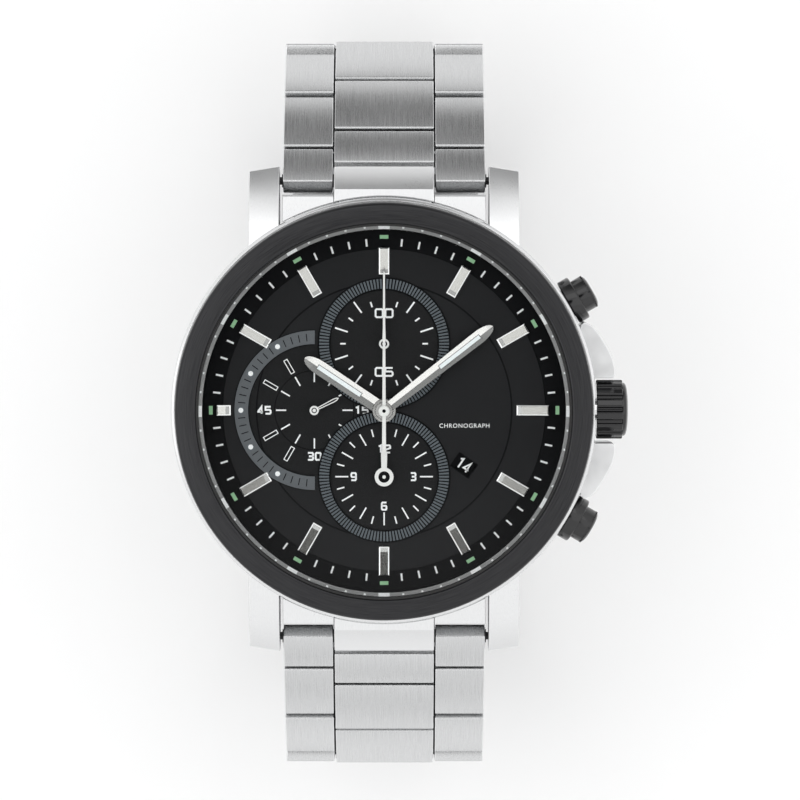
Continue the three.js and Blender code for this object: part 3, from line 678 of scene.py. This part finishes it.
def dial_plate():
    """The dial is stacked from turned plates; the upper one is cut for the counters and the date."""
    base = Shape()
    lathe(base, [(1.0, 3.1), (20.55, 3.1), (20.55, DIAL_TOP - 0.04), (1.0, DIAL_TOP - 0.04)], 256)
    lower = piece("dial_base", base, [counter_floor], HEAD, "case", ["dial"])
    upper = Shape()
    lathe(upper, [
        (1.0, 3.42), (20.5, 3.42), (20.5, DIAL_TOP), (17.5, DIAL_TOP), (17.42, INDEX_TOP), (13.9, INDEX_TOP),
        (13.82, INNER_TOP - 0.03), (13.74, INNER_TOP), (1.0, INNER_TOP),
    ], 256, slot=[1, 1, 1, 1, 0, 1, 0, 0, 0])
    top = piece("dial_face", upper, [dial_middle, dial_track], HEAD, "case")
    window = Shape()
    half_width, half_length = DATE["width"] / 2, DATE["length"] / 2
    at_date = clock(DATE["angle"]) @ shift(0, DATE["radius"], 0)
    block(window, -half_width, half_width, -half_length, half_length, 2, 5, 0, at_date)
    carve(lower, window)
    cuts = Shape()
    for y in (COUNTER_OFFSET, -COUNTER_OFFSET):
        disc(cuts, 7.18, 3.0, 5, 96, move=shift(0, y, 0))
    carve(top, cuts)
    cuts = Shape()
    disc(cuts, 7.1, 3.0, 5, 128, move=shift(-LEFT_OFFSET, 0, 0))
    carve(top, cuts)
    carve(top, window)
    add_bevel(top, 0.02, 1)

    frame_shape = Shape()
    x, y = half_width + 0.02, half_length + 0.02
    corners = [(-x, -y), (x, -y), (x, y), (-x, y)]
    stroke(frame_shape, corners, 0.06, INNER_TOP - 0.1, INNER_TOP + 0.02, True, 0, at_date)
    piece("date_window_edge", frame_shape, [dial_track], HEAD, "case")


RIBS = 120


def counter_rings():
    """The two knurled rings: fine grey ribs standing on a dark ring with narrow rims."""
    for place, y in (("upper", COUNTER_OFFSET), ("lower", -COUNTER_OFFSET)):
        at = HEAD @ shift(0, y * MM, 0)
        shape = Shape()
        lathe(shape, [(5.8, 3.44), (7.18, 3.44), (7.18, 3.66), (7.08, 3.68), (7.04, 3.56), (5.94, 3.56),
                      (5.9, 3.66), (5.8, 3.64)], 128)
        step = 360 / RIBS
        for i in range(RIBS):
            a = i * step
            sector(shape, 5.96, 7.02, a - 0.29 * step, a + 0.29 * step, 3.5, 3.69, 1, 1)
        piece(f"{place}_counter_ring", shape, [dial_track, rib_grey], at, "case")


def left_band():
    """The half ring round the left counter, with dots every five units and dark lines between."""
    at = HEAD @ shift(-LEFT_OFFSET * MM, 0, 0)
    shape = Shape()
    edge = math.degrees(math.asin(0.05 / 7.9))
    for inner, outer, top, slot in ((7.1, 8.7, 3.62, 0), (7.06, 7.16, 3.63, 1), (8.64, 8.72, 3.63, 1)):
        sector(shape, inner, outer, 90 - edge, 270 + edge, 3.44, top, 90, slot)
    marks = Shape()
    for unit in range(31, 60):
        a = 90 - 6 * unit
        if unit % 5 == 0:
            spot = spin_z(a) @ shift(7.95, 0, 0)
            disc(marks, 0.27, 3.6, 3.635, 24, 1, spot)
            disc(marks, 0.4, 3.6, 3.628, 24, 2, spot)
        else:
            block(marks, 7.5, 8.3, -0.05, 0.05, 3.6, 3.63, 0, spin_z(a))
    piece("left_counter_band", shape, [band_grey, dial_track], at, "case")
    piece("left_band_marks", marks, [dial_track, print_white, rib_grey], at, "case")


def printing():
    """Everything printed in white, and the green hour blocks of the minute track."""
    shape = Shape()
    for minute in range(60):
        turn = clock(6 * minute)
        if minute % 5:
            block(shape, -0.1, 0.1, 17.8, 18.6, DIAL_TOP, DIAL_TOP + PRINT, 0, turn)
        else:
            block(shape, -0.46, 0.46, 18.55, 18.95, DIAL_TOP, DIAL_TOP + 2 * PRINT, 1, turn)

    floor, top = FLOOR_TOP, FLOOR_TOP + PRINT
    upper = shift(0, COUNTER_OFFSET, 0)
    for i in range(20):
        if i % 10:
            start, end = (4.15, 4.74) if i % 2 else (4.13, 5.58)
            block(shape, -0.085, 0.085, start, end, floor, top, 0, upper @ clock(18 * i))
    for text, y in (("00", 3.3), ("05", -3.05)):
        number(shape, text, 0.78, 0.86, 0.28, 0.2, floor, top, 0, upper @ shift(0, y, 0))

    lower = shift(0, -COUNTER_OFFSET, 0)
    for i in range(24):
        start = 4.46 if i % 2 else 3.88
        block(shape, -0.075, 0.075, start, 5.28, floor, top, 0, lower @ clock(15 * i))
    for text, x, y in (("12", 0, 3.0), ("3", 3.15, 0), ("6", 0, -3.2), ("9", -3.3, 0)):
        number(shape, text, 0.5, 0.78, 0.3, 0.19, floor, top, 0, lower @ shift(x, y, 0))

    left = shift(-LEFT_OFFSET, 0, 0)
    for unit in range(0, 60, 5):
        block(shape, -0.075, 0.075, 3.05, 4.15, floor, top, 0, left @ clock(6 * unit))
    for unit in (35, 40, 50, 55):
        outline = [(-0.2, 4.65), (0.2, 4.65), (0.2, 6.25), (-0.2, 6.25)]
        stroke(shape, outline, 0.09, floor, top, True, 0, left @ clock(6 * unit))
    for text, x, y in (("45", -5.42, 0), ("15", 5.1, 0), ("30", 0, -5.0)):
        number(shape, text, 0.55, 0.75, 0.28, 0.2, floor, top, 0, left @ shift(x, y, 0))
    piece("dial_printing", shape, [print_white, lume_green], HEAD, "case")

    line = Shape()
    ring(line, 4.24, 4.34, floor, floor + 0.008, 96, 0, left)
    ring(line, 13.72, 13.86, INNER_TOP - 0.02, INNER_TOP + 0.006, 256)
    piece("dial_fine_lines", line, [dial_track], HEAD, "case")

    words = bpy.data.curves.new("dial_word", "FONT")
    words.body = "CHRONOGRAPH"
    words.align_x = "CENTER"
    words.align_y = "CENTER"
    words.size = 0.66 * MM
    words.space_character = 1.12
    words.extrude = 0.008 * MM
    words.resolution_u = 3
    holder = placed("dial_word", words)
    bpy.context.view_layer.update()
    graph = bpy.context.evaluated_depsgraph_get()
    mesh = bpy.data.meshes.new_from_object(holder.evaluated_get(graph))
    bpy.data.objects.remove(holder)
    mesh.materials.clear()
    mesh.materials.append(print_white)
    text = placed("dial_word", mesh)
    text.matrix_world = HEAD @ shift(8.7 * MM, -1.7 * MM, (INNER_TOP + 0.008) * MM)
    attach(text, "case")


# Inner and outer ends of the applied bars, from the hands' axis.
INDEX_ENDS = {hour: (14.35, 17.8) for hour in (1, 2, 3, 4, 5, 7, 8, 10, 11)}
INDEX_ENDS.update({12: (14.7, 17.6), 6: (14.8, 17.9), 9: (16.6, 18.1)})


def indices():
    """Applied bars: polished bevels round a brushed face, and at the inner end a sloping facet in a darker
    copy of the steel, which is painted shade.
    """
    for hour, (start, end) in INDEX_ENDS.items():
        shape = Shape()
        half, rim, facet = 0.55, 0.13, 0.55
        foot, brow_in, brow_out = 3.45, 3.74, 4.06
        mid = start + facet
        far = end - rim
        slope = (brow_out - brow_in) / (end - start)
        low, middle, high = (brow_in + slope * (y - start) for y in (start, mid, far))
        tip = brow_out - 0.06
        x, inner_x = half, half - rim
        verts = [
            (-x, start, foot), (x, start, foot), (x, end, foot), (-x, end, foot),
            (-x, start, low - 0.12), (x, start, low - 0.12), (x, end, tip), (-x, end, tip),
            (-inner_x, start + rim, low - 0.1), (inner_x, start + rim, low - 0.1),
            (inner_x, mid, middle), (-inner_x, mid, middle), (inner_x, far, high), (-inner_x, far, high),
        ]
        faces = [
            [3, 2, 1, 0], [0, 1, 5, 4], [1, 2, 6, 5], [2, 3, 7, 6], [3, 0, 4, 7],
            [4, 5, 9, 8], [5, 6, 12, 10, 9], [6, 7, 13, 12], [7, 4, 8, 11, 13],
            [11, 10, 12, 13], [8, 9, 10, 11],
        ]
        # the last face, the sloping facet at the inner end, takes the darker steel: painted shade
        shape.add(verts, faces, [0] * (len(faces) - 2) + [1, 2])
        looks = [index_rim, index_fill, index_painted_shade]
        at = HEAD @ clock(30 * hour)
        piece(f"hour_index_{hour}", shape, looks, at, "case", sharp=8)


# -------------------------------- hands

def roof_hand(shape, length, root, shoulder, tip, low, edge, ridge, strip, shaded_side):
    """A hand pointing along +Y: two facets that meet in a ridge, and a curved point; one facet and the rim
    round the lume strip take a darker copy of the hand steel, which is painted shade.
    """
    steps = 10
    right = [(root, 0.0)]
    base = length - tip
    for i in range(steps):
        t = i / steps
        right.append((shoulder * math.sqrt(max(0.0, 1 - t ** 1.8)), base + tip * t))
    right.append((0.0, length))
    verts, faces = [], []
    for x, y in right:
        fade = ridge if y < base + tip * 0.3 else edge + (ridge - edge) * max(0, (length - y) / (tip * 0.7))
        verts += [(x, y, low), (x, y, edge), (0, y, fade), (-x, y, edge), (-x, y, low)]
    for i in range(len(right) - 1):
        a, b = 5 * i, 5 * (i + 1)
        faces += [
            [a, b, b + 1, a + 1], [a + 1, b + 1, b + 2, a + 2], [a + 2, b + 2, b + 3, a + 3],
            [a + 3, b + 3, b + 4, a + 4], [a + 4, b + 4, b, a],
        ]
    faces.append([4, 3, 2, 1, 0])
    # the facet on one side takes the darker steel: painted shade
    sides = [0, 2, 0, 0, 0] if shaded_side > 0 else [0, 0, 2, 0, 0]
    shape.add(verts, faces, sides * (len(right) - 1) + [0])
    half, start, end = strip
    block(shape, -half, half, start, end, edge, ridge + 0.015, 1)
    outline = [(-half, start), (half, start), (half, end), (-half, end)]
    # the rim round the lume strip also takes the darker steel: painted shade
    stroke(shape, outline, 0.07, edge, ridge + 0.03, True, 2)


def hands():
    for name, length, root, shoulder, tip, low, edge, ridge, hub, pipe, bottom, strip, angle, shaded in (
        ("hour_hand", 10.3, 0.73, 0.78, 1.9, 4.35, 4.42, 4.62, 1.285, 1.02, 2.25,
         (0.26, 3.0, 8.6), 303.6, -1),
        ("minute_hand", 14.9, 0.53, 0.72, 2.0, 4.85, 4.91, 5.1, 0.965, 0.64, 1.95,
         (0.24, 7.6, 13.1), 52.1, 1),
    ):
        shape = Shape()
        roof_hand(shape, length, root, shoulder, tip, low, edge, ridge, strip, shaded)
        dome = ridge + 0.03
        lathe(shape, [
            (0, low), (hub - 0.06, low), (hub, low + 0.05), (hub, dome - 0.06), (hub - 0.06, dome), (0, dome),
        ], 64)
        disc(shape, pipe, bottom, low + 0.05, 32)
        piece(
            name + "_faceted", shape, [hand_steel, lume_pale, hand_painted_shade], HEAD @ clock(angle), name,
            [name], sharp=10,
        )

    shape = Shape()
    outline = [
        (0.225, -4.5), (0.19, 0), (0.1, 14.9), (0, 15.1), (-0.1, 14.9), (-0.19, 0), (-0.225, -4.5),
    ]
    prism(shape, outline, 5.35, 5.5)
    lathe(shape, [(0, 5.33), (0.56, 5.33), (0.62, 5.39), (0.62, 5.5), (0.54, 5.58), (0, 5.58)], 48)
    disc(shape, 0.27, 1.6, 5.4, 24)
    disc(shape, 0.2, 5.5, 5.6, 24, 1)
    piece(
        "chrono_seconds_hand_needle", shape, [hand_light, gloss_black], HEAD, "chrono_seconds_hand",
        ["chrono_seconds_hand"], bevel=0.03,
    )


def counter_hands():
    z0, z1 = 3.95, 4.1

    def eye(radius_in, radius_out):
        """A hand's round eye with its post."""
        shape = Shape()
        ring(shape, radius_in, radius_out, z0, z1 + 0.06, 48)
        disc(shape, radius_in + 0.02, z0, z1 - 0.03, 32, 1)
        disc(shape, 0.19, z0, z1 + 0.09, 24)
        disc(shape, 0.3, 2.0, z0 + 0.02, 16)
        return shape

    upper = eye(0.34, 0.55)
    prism(upper, [(0.18, 0.5), (0.09, 3.45), (0, 3.6), (-0.09, 3.45), (-0.18, 0.5)], z0, z1)
    lower = eye(0.62, 1.02)
    prism(lower, [
        (0.3, 0.95), (0.34, 2.6), (0.22, 2.88), (0, 3.0), (-0.22, 2.88), (-0.34, 2.6), (-0.3, 0.95),
    ], z0, z1)
    left = eye(0.3, 0.5)
    outline = [(0.09, 0.45), (0.15, 2.4), (0.1, 2.75), (0, 2.9), (-0.1, 2.75), (-0.15, 2.4), (-0.09, 0.45)]
    stroke(left, outline, 0.1, z0, 4.08, True)
    for shape, name, x, y, angle in (
        (upper, "upper_counter_hand", 0, COUNTER_OFFSET, 0),
        (lower, "lower_counter_hand", 0, -COUNTER_OFFSET, 0),
        (left, "running_seconds_hand", -LEFT_OFFSET, 0, 63),
    ):
        at = HEAD @ shift(x * MM, y * MM, 0) @ clock(angle)
        piece(name + "_ringed", shape, [hand_light, dial_track], at, name, [name])


def date_disc():
    shape = Shape()
    ring(shape, 8.6, 12.4, 2.7, 2.9, 160)
    step = 360 / 31
    for day in range(1, 32):
        turn = clock(DATE["angle"] + (day - 14) * step)
        # the number reads outwards along the radius
        place = turn @ shift(0, DATE["radius"], 0) @ spin_z(90)
        number(shape, str(day), 0.62, 1.1, 0.26, 0.19, 2.88, 2.92, 1, place)
    looks = [dial_track, print_white]
    piece("date_disc_printed", shape, looks, HEAD, "date_disc", ["date_disc"])


# -------------------------------- crown and pushers

def crown():
    shape = Shape()
    flutes, tip_r, groove_r = 14, 3.2, 2.86
    outline = []
    step = 360 / flutes
    for i in range(flutes):
        for turn, radius in (
            (-0.36, tip_r), (-0.2, tip_r), (0.04, tip_r), (0.2, tip_r), (0.29, groove_r), (0.55, groove_r),
        ):
            a = math.radians((i + turn) * step)
            outline.append((radius * math.cos(a), radius * math.sin(a)))
    prism(shape, outline, 23.0, 25.85, 0, shift(0, 0, CONTROL_Z) @ TO_SIDE)
    grip = piece("crown_grip", shape, [gloss_black], HEAD, "crown", ["crown"])
    add_bevel(grip, 0.14, 3)
    cap = Shape()
    rod(cap, [
        (24.6, 2.8), (25.8, 2.8), (25.84, 2.9), (25.98, 2.9), (26.1, 2.84), (26.22, 2.7), (26.32, 2.4),
        (26.42, 1.7), (26.48, 0.9), (26.5, 0.3),
    ], 96)
    piece("crown_cap", cap, [gloss_black], HEAD, "crown", sharp=50)


def pushers():
    for place, side in (("upper", 1), ("lower", -1)):
        turn = spin_z(side * PUSHER_ANGLE)
        cap = Shape()
        rod(cap, [
            (24.15, 1.78), (24.25, 1.9), (25.45, 1.9), (25.6, 1.86), (25.8, 1.74), (25.93, 1.5), (26.0, 1.2),
        ], 72, turn)
        rod(cap, [(16.4, 0.5), (24.3, 0.5)], 24, turn)
        rod(cap, [(18.1, 0.95), (18.4, 0.95)], 24, turn)
        for i in range(40):
            grip = turn @ shift(0, 0, CONTROL_Z) @ Matrix.Rotation(math.radians(9 * i), 4, "X")
            block(cap, 25.5, 25.72, -0.05, 0.05, 1.6, 1.9, 0, grip)
        piece(
            f"{place}_pusher_cap", cap, [gloss_black], HEAD, f"{place}_pusher",
            [f"{place}_pusher"], sharp=50,
        )
        tube = Shape()
        lathe(tube, [
            (1.25, 18.6), (1.6, 18.6), (1.6, 23.05), (2.36, 23.05), (2.5, 23.15), (2.5, 24.22), (2.44, 24.35),
            (2.3, 24.4), (2.1, 24.4), (2.05, 24.3), (2.05, 23.3), (1.25, 23.3),
        ], 72, move=turn @ ALONG_X)
        piece(
            f"{place}_pusher_collar", tube, [gloss_black], HEAD, "case",
            [f"{place}_pusher_tube"], sharp=50,
        )


# -------------------------------- bracelet

HALF = 1.5  # half the links' thickness
CENTRE_X, ROW_IN, ROW_OUT = 5.43, 5.58, 10.98
OUTER_KNUCKLE, CENTRE_KNUCKLE = 1.2, 1.05
OUTER_GAP, CENTRE_GAP = 0.2, 0.35
FIRST_CENTRE_START = 2.27
FIRST_LIP = 0.85  # the first link's top reaches back over the end link's nose
TOP_ROUND = 0.2


def bar_outline(start, end, depth, lip=0.0):
    """A link's bar from the side, round underneath; lip is how far its top reaches back over start."""
    r = TOP_ROUND
    high_end = arc(end - r, HALF - r, r, r, 0, 90, 3)
    high_start = arc(start - lip + r, HALF - r, r, r, 90, 180, 3)
    low_start = arc(start + depth, 0, depth, HALF, 165 if lip else 195, 270, 6)
    low_end = arc(end - depth, 0, depth, HALF, 270, 345, 6)
    return high_end + high_start + low_start + low_end


def link_frame(name):
    """A link's matrix: its hinge, and the direction to the next hinge, from the joints."""
    _, hour, index = name.split("_")
    at = Vector(JOINTS[name + "_hinge"]["pos_m"])
    following = f"link_{hour}_{int(index) + 1}_hinge"
    if following not in JOINTS:
        following = "clasp_cover_hinge" if hour == "6" else "clasp_blade_hinge"
    ahead = Vector(JOINTS[following]["pos_m"]) - at
    pitch = ahead.length / MM
    y = ahead.normalized()
    x = Vector((1 if hour == "12" else -1, 0, 0))
    z = x.cross(y)
    turn = Matrix((x, y, z)).transposed().to_4x4()
    return Matrix.Translation(at) @ turn, pitch


def links():
    for hour in ("12", "6"):
        for index in range(1, 10):
            name = f"link_{hour}_{index}"
            at, pitch = link_frame(name)
            first = index == 1
            shape = Shape()
            start = FIRST_CENTRE_START if first else CENTRE_KNUCKLE + CENTRE_GAP
            outer_end = pitch - OUTER_KNUCKLE - OUTER_GAP
            rows = bar_outline(-OUTER_KNUCKLE, outer_end, OUTER_KNUCKLE)
            across(shape, rows, ROW_IN, ROW_OUT)
            across(shape, rows, -ROW_OUT, -ROW_IN)
            centre = bar_outline(start, pitch + CENTRE_KNUCKLE, CENTRE_KNUCKLE, FIRST_LIP if first else 0)
            across(shape, centre, -CENTRE_X, CENTRE_X)
            looks = [link_steel_painted_shade, polished_steel]
            thing = piece(name + "_rows", shape, looks, at, name, [name], sharp=34)
            add_bevel(thing, 0.1, 2, 1, angle=50)
            # a near-black core between the rows and round the pins, standing for the shade in the gaps
            core = Shape()
            block(core, -5.7, 5.7, start + 0.35, outer_end - 0.35, -1.05, 1.05)
            if not (hour == "12" and index == 9):
                across(core, arc(pitch, 0, 0.55, 0.55, 0, 345, 23), -10.2, 10.2)
            piece(name + "_core", core, [gap_painted_shade], at, name)


def end_links():
    nose = [
        (19, -1.6), (24.9, -1.5), (25.6, -1.4), (26.05, -1.15), (26.32, -0.8), (26.4, -0.4), (26.4, 0.7),
        (26.35, 1.0), (26.2, 1.25), (23.9, 3.3), (19, 4.0),
    ]
    shoulder = [(19, -1.5), (22.9, -1.5), (23.3, -1.1), (23.3, 3.2), (23.1, 3.4), (19, 4.0)]
    looks = [case_brushed, polished_steel]
    for hour, turn in (("12", 0), ("6", 180)):
        at = HEAD @ spin_z(turn)
        middle, sides = Shape(), Shape()
        across(middle, nose, -CENTRE_X, CENTRE_X)
        across(sides, shoulder, -ROW_OUT, -CENTRE_X - 0.03)
        across(sides, shoulder, CENTRE_X + 0.03, ROW_OUT)
        name = f"end_link_{hour}"
        for shape, part, replaces in ((middle, "_nose", [name]), (sides, "_shoulders", [])):
            made = piece(name + part, shape, looks, at, "case", replaces, sharp=20)
            cuts = Shape()
            disc(cuts, 23.12, -5, 8, SIDES, move=spin_z(-turn))
            carve(made, cuts)
            add_bevel(made, 0.12, 2, 1, angle=40)


# -------------------------------- caseback and kept nodes

def caseback():
    shape = Shape()
    lathe(shape, [
        (0, -3.6), (13.4, -3.6), (13.5, -3.52), (13.8, -3.52), (13.9, -3.6), (18.5, -3.6), (18.85, -3.45),
        (19.0, -3.2), (19.0, -2.35), (17.1, -2.35), (17.1, -1.75), (16.1, -1.75), (16.1, -2.35), (0, -2.35),
    ])
    cover = piece("caseback_cover", shape, [case_round], HEAD, "case", ["caseback"])
    cuts = Shape()
    for i in range(6):
        block(cuts, 17.4, 20, -1.6, 1.6, -5, -3.05, 0, spin_z(60 * i))
    carve(cover, cuts)
    add_bevel(cover, 0.06)


def kept_nodes():
    """CAD nodes whose shape is right get a finish, and the visible ones soft edges; the spring bars get
    near-black steel, which is painted shade in the gaps.
    """
    finishes = (
        (brass, ["movement_module"]), (battery_metal, ["battery"]), (copper, ["motor_coil"]),
        (grey_plastic, ["movement_ring"]),
        (rubber, ["caseback_gasket", "crown_gasket"]),
        # the spring bars in the near-black gap steel: painted shade
        (gap_painted_shade, ["spring_bar_12", "spring_bar_6"]),
        (link_steel_painted_shade, ["clasp_cover", "clasp_inner_blade", "clasp_fork"]),
        (polished_steel, [
            "crown_tube", "crown_stem", "upper_pusher_spring", "lower_pusher_spring", "clasp_fold_pin",
            "clasp_pivot_left", "clasp_pivot_right", "clasp_button_left", "clasp_button_right",
        ]),
    )
    for look, names in finishes:
        for name in names:
            thing = frame["nodes"][name]
            thing.data.materials.clear()
            thing.data.materials.append(look)
            if name.startswith("clasp"):
                thing.data.materials.append(polished_steel)
                add_bevel(thing, 0.1, 2, 1)


# -------------------------------- stage

def stage():
    bm = bmesh.new()
    bmesh.ops.create_grid(bm, x_segments=8, y_segments=8, size=1.6)
    mesh = bpy.data.meshes.new("floor")
    bm.to_mesh(mesh)
    bm.free()
    floor = placed("floor", mesh)
    look, tree, shader = new_look("floor_pale", (0.95, 0.95, 0.95), 0.0, 0.75, specular=0.1)
    tint(tree, even_noise(tree, 30), [0.945] * 3, [0.955] * 3, shader)
    mesh.materials.append(look)


def softbox(name, size_x, size_y, direction, power, distance=0.6):
    """A soft light facing the watch head; direction is its lean (towards +X, towards +Y) in degrees."""
    tilt_x, tilt_y = (math.radians(a) for a in direction)
    way = Vector((math.tan(tilt_x), math.tan(tilt_y), 1)).normalized()
    light = bpy.data.lights.new(name, "AREA")
    light.shape = "RECTANGLE"
    light.size = size_x
    light.size_y = size_y
    light.energy = power
    lamp = placed(name, light)
    centre = Vector((0, 0, HEAD_Z))
    lamp.location = centre + way * distance
    lamp.rotation_mode = "QUATERNION"
    lamp.rotation_quaternion = way.to_track_quat("Z", "Y")
    lamp.visible_camera = False


def facing_level(tree, way, height, angles, levels):
    """A round patch of the studio, height degrees up beyond 12 o'clock; angles and levels run inwards."""
    towards = node(tree, "ShaderNodeVectorMath", operation="DOT_PRODUCT")
    tree.links.new(way, towards.inputs[0])
    up = math.radians(height)
    towards.inputs[1].default_value = (0, math.cos(up), math.sin(up))
    edge, core = (math.cos(math.radians(a)) for a in angles)
    return spread(tree, towards.outputs["Value"], *levels, edge, core)


def lights():
    softbox("light_left", 0.34, 0.7, (-42, 0), 0.4)
    softbox("light_right", 0.34, 0.7, (42, 0), 0.15)
    softbox("light_far", 0.7, 0.22, (0, 30), 0.25)
    world = bpy.data.worlds.new("studio")
    bpy.context.scene.world = world
    world.use_nodes = True
    tree = world.node_tree
    way = node(tree, "ShaderNodeTexCoord").outputs["Generated"]
    # a small dark patch nearly overhead, which the flat black faces mirror, and white all round
    patch = facing_level(tree, way, 87, (10.5, 6.5), (1.0, 0.012))
    # a broad grey flag low beyond 12 o'clock, so that the links that lean that way are darker
    flag = facing_level(tree, way, 8, (35, 14), (1.1, 0.24))
    # the walls fall off a little towards the floor
    height = node(tree, "ShaderNodeSeparateXYZ")
    tree.links.new(way, height.inputs[0])
    bottom, top = math.sin(math.radians(5)), math.sin(math.radians(35))
    wall = spread(tree, height.outputs["Z"], 0.8, 1.0, bottom, top)
    level = calculated(tree, "MULTIPLY", calculated(tree, "MULTIPLY", patch, flag), wall)
    sky = tree.nodes["Background"]
    sky.inputs["Color"].default_value = (1, 1, 1, 1)
    tree.links.new(level, sky.inputs["Strength"])


def camera():
    """Straight down on the dial, leaning a little from the 12 o'clock side, through a long lens."""
    centre = Vector((1.72 * MM, 1.3 * MM, HEAD_Z + 7.9 * MM))
    lean = math.radians(2.5)
    distance, view_width, sensor = 0.5, 85.8 * MM, 36.0
    back = Vector((0, math.sin(lean), math.cos(lean)))
    data = bpy.data.cameras.new("camera")
    data.sensor_width = sensor
    data.lens = sensor * distance / view_width
    data.clip_start, data.clip_end = 0.05, 10
    eye = placed("camera", data)
    eye.location = centre + back * distance
    up = Vector((0, math.cos(lean), -math.sin(lean)))
    right = up.cross(back)
    eye.rotation_mode = "QUATERNION"
    eye.rotation_quaternion = Matrix((right, up, back)).transposed().to_quaternion()
    bpy.context.scene.camera = eye


for make in (
    case, bezel, crystal, flange, dial_plate, counter_rings, left_band, printing, indices, hands,
    counter_hands, date_disc, crown, pushers, links, end_links, caseback, kept_nodes, stage, lights, camera,
):
    make()
bpy.context.scene.view_settings.view_transform = "Standard"
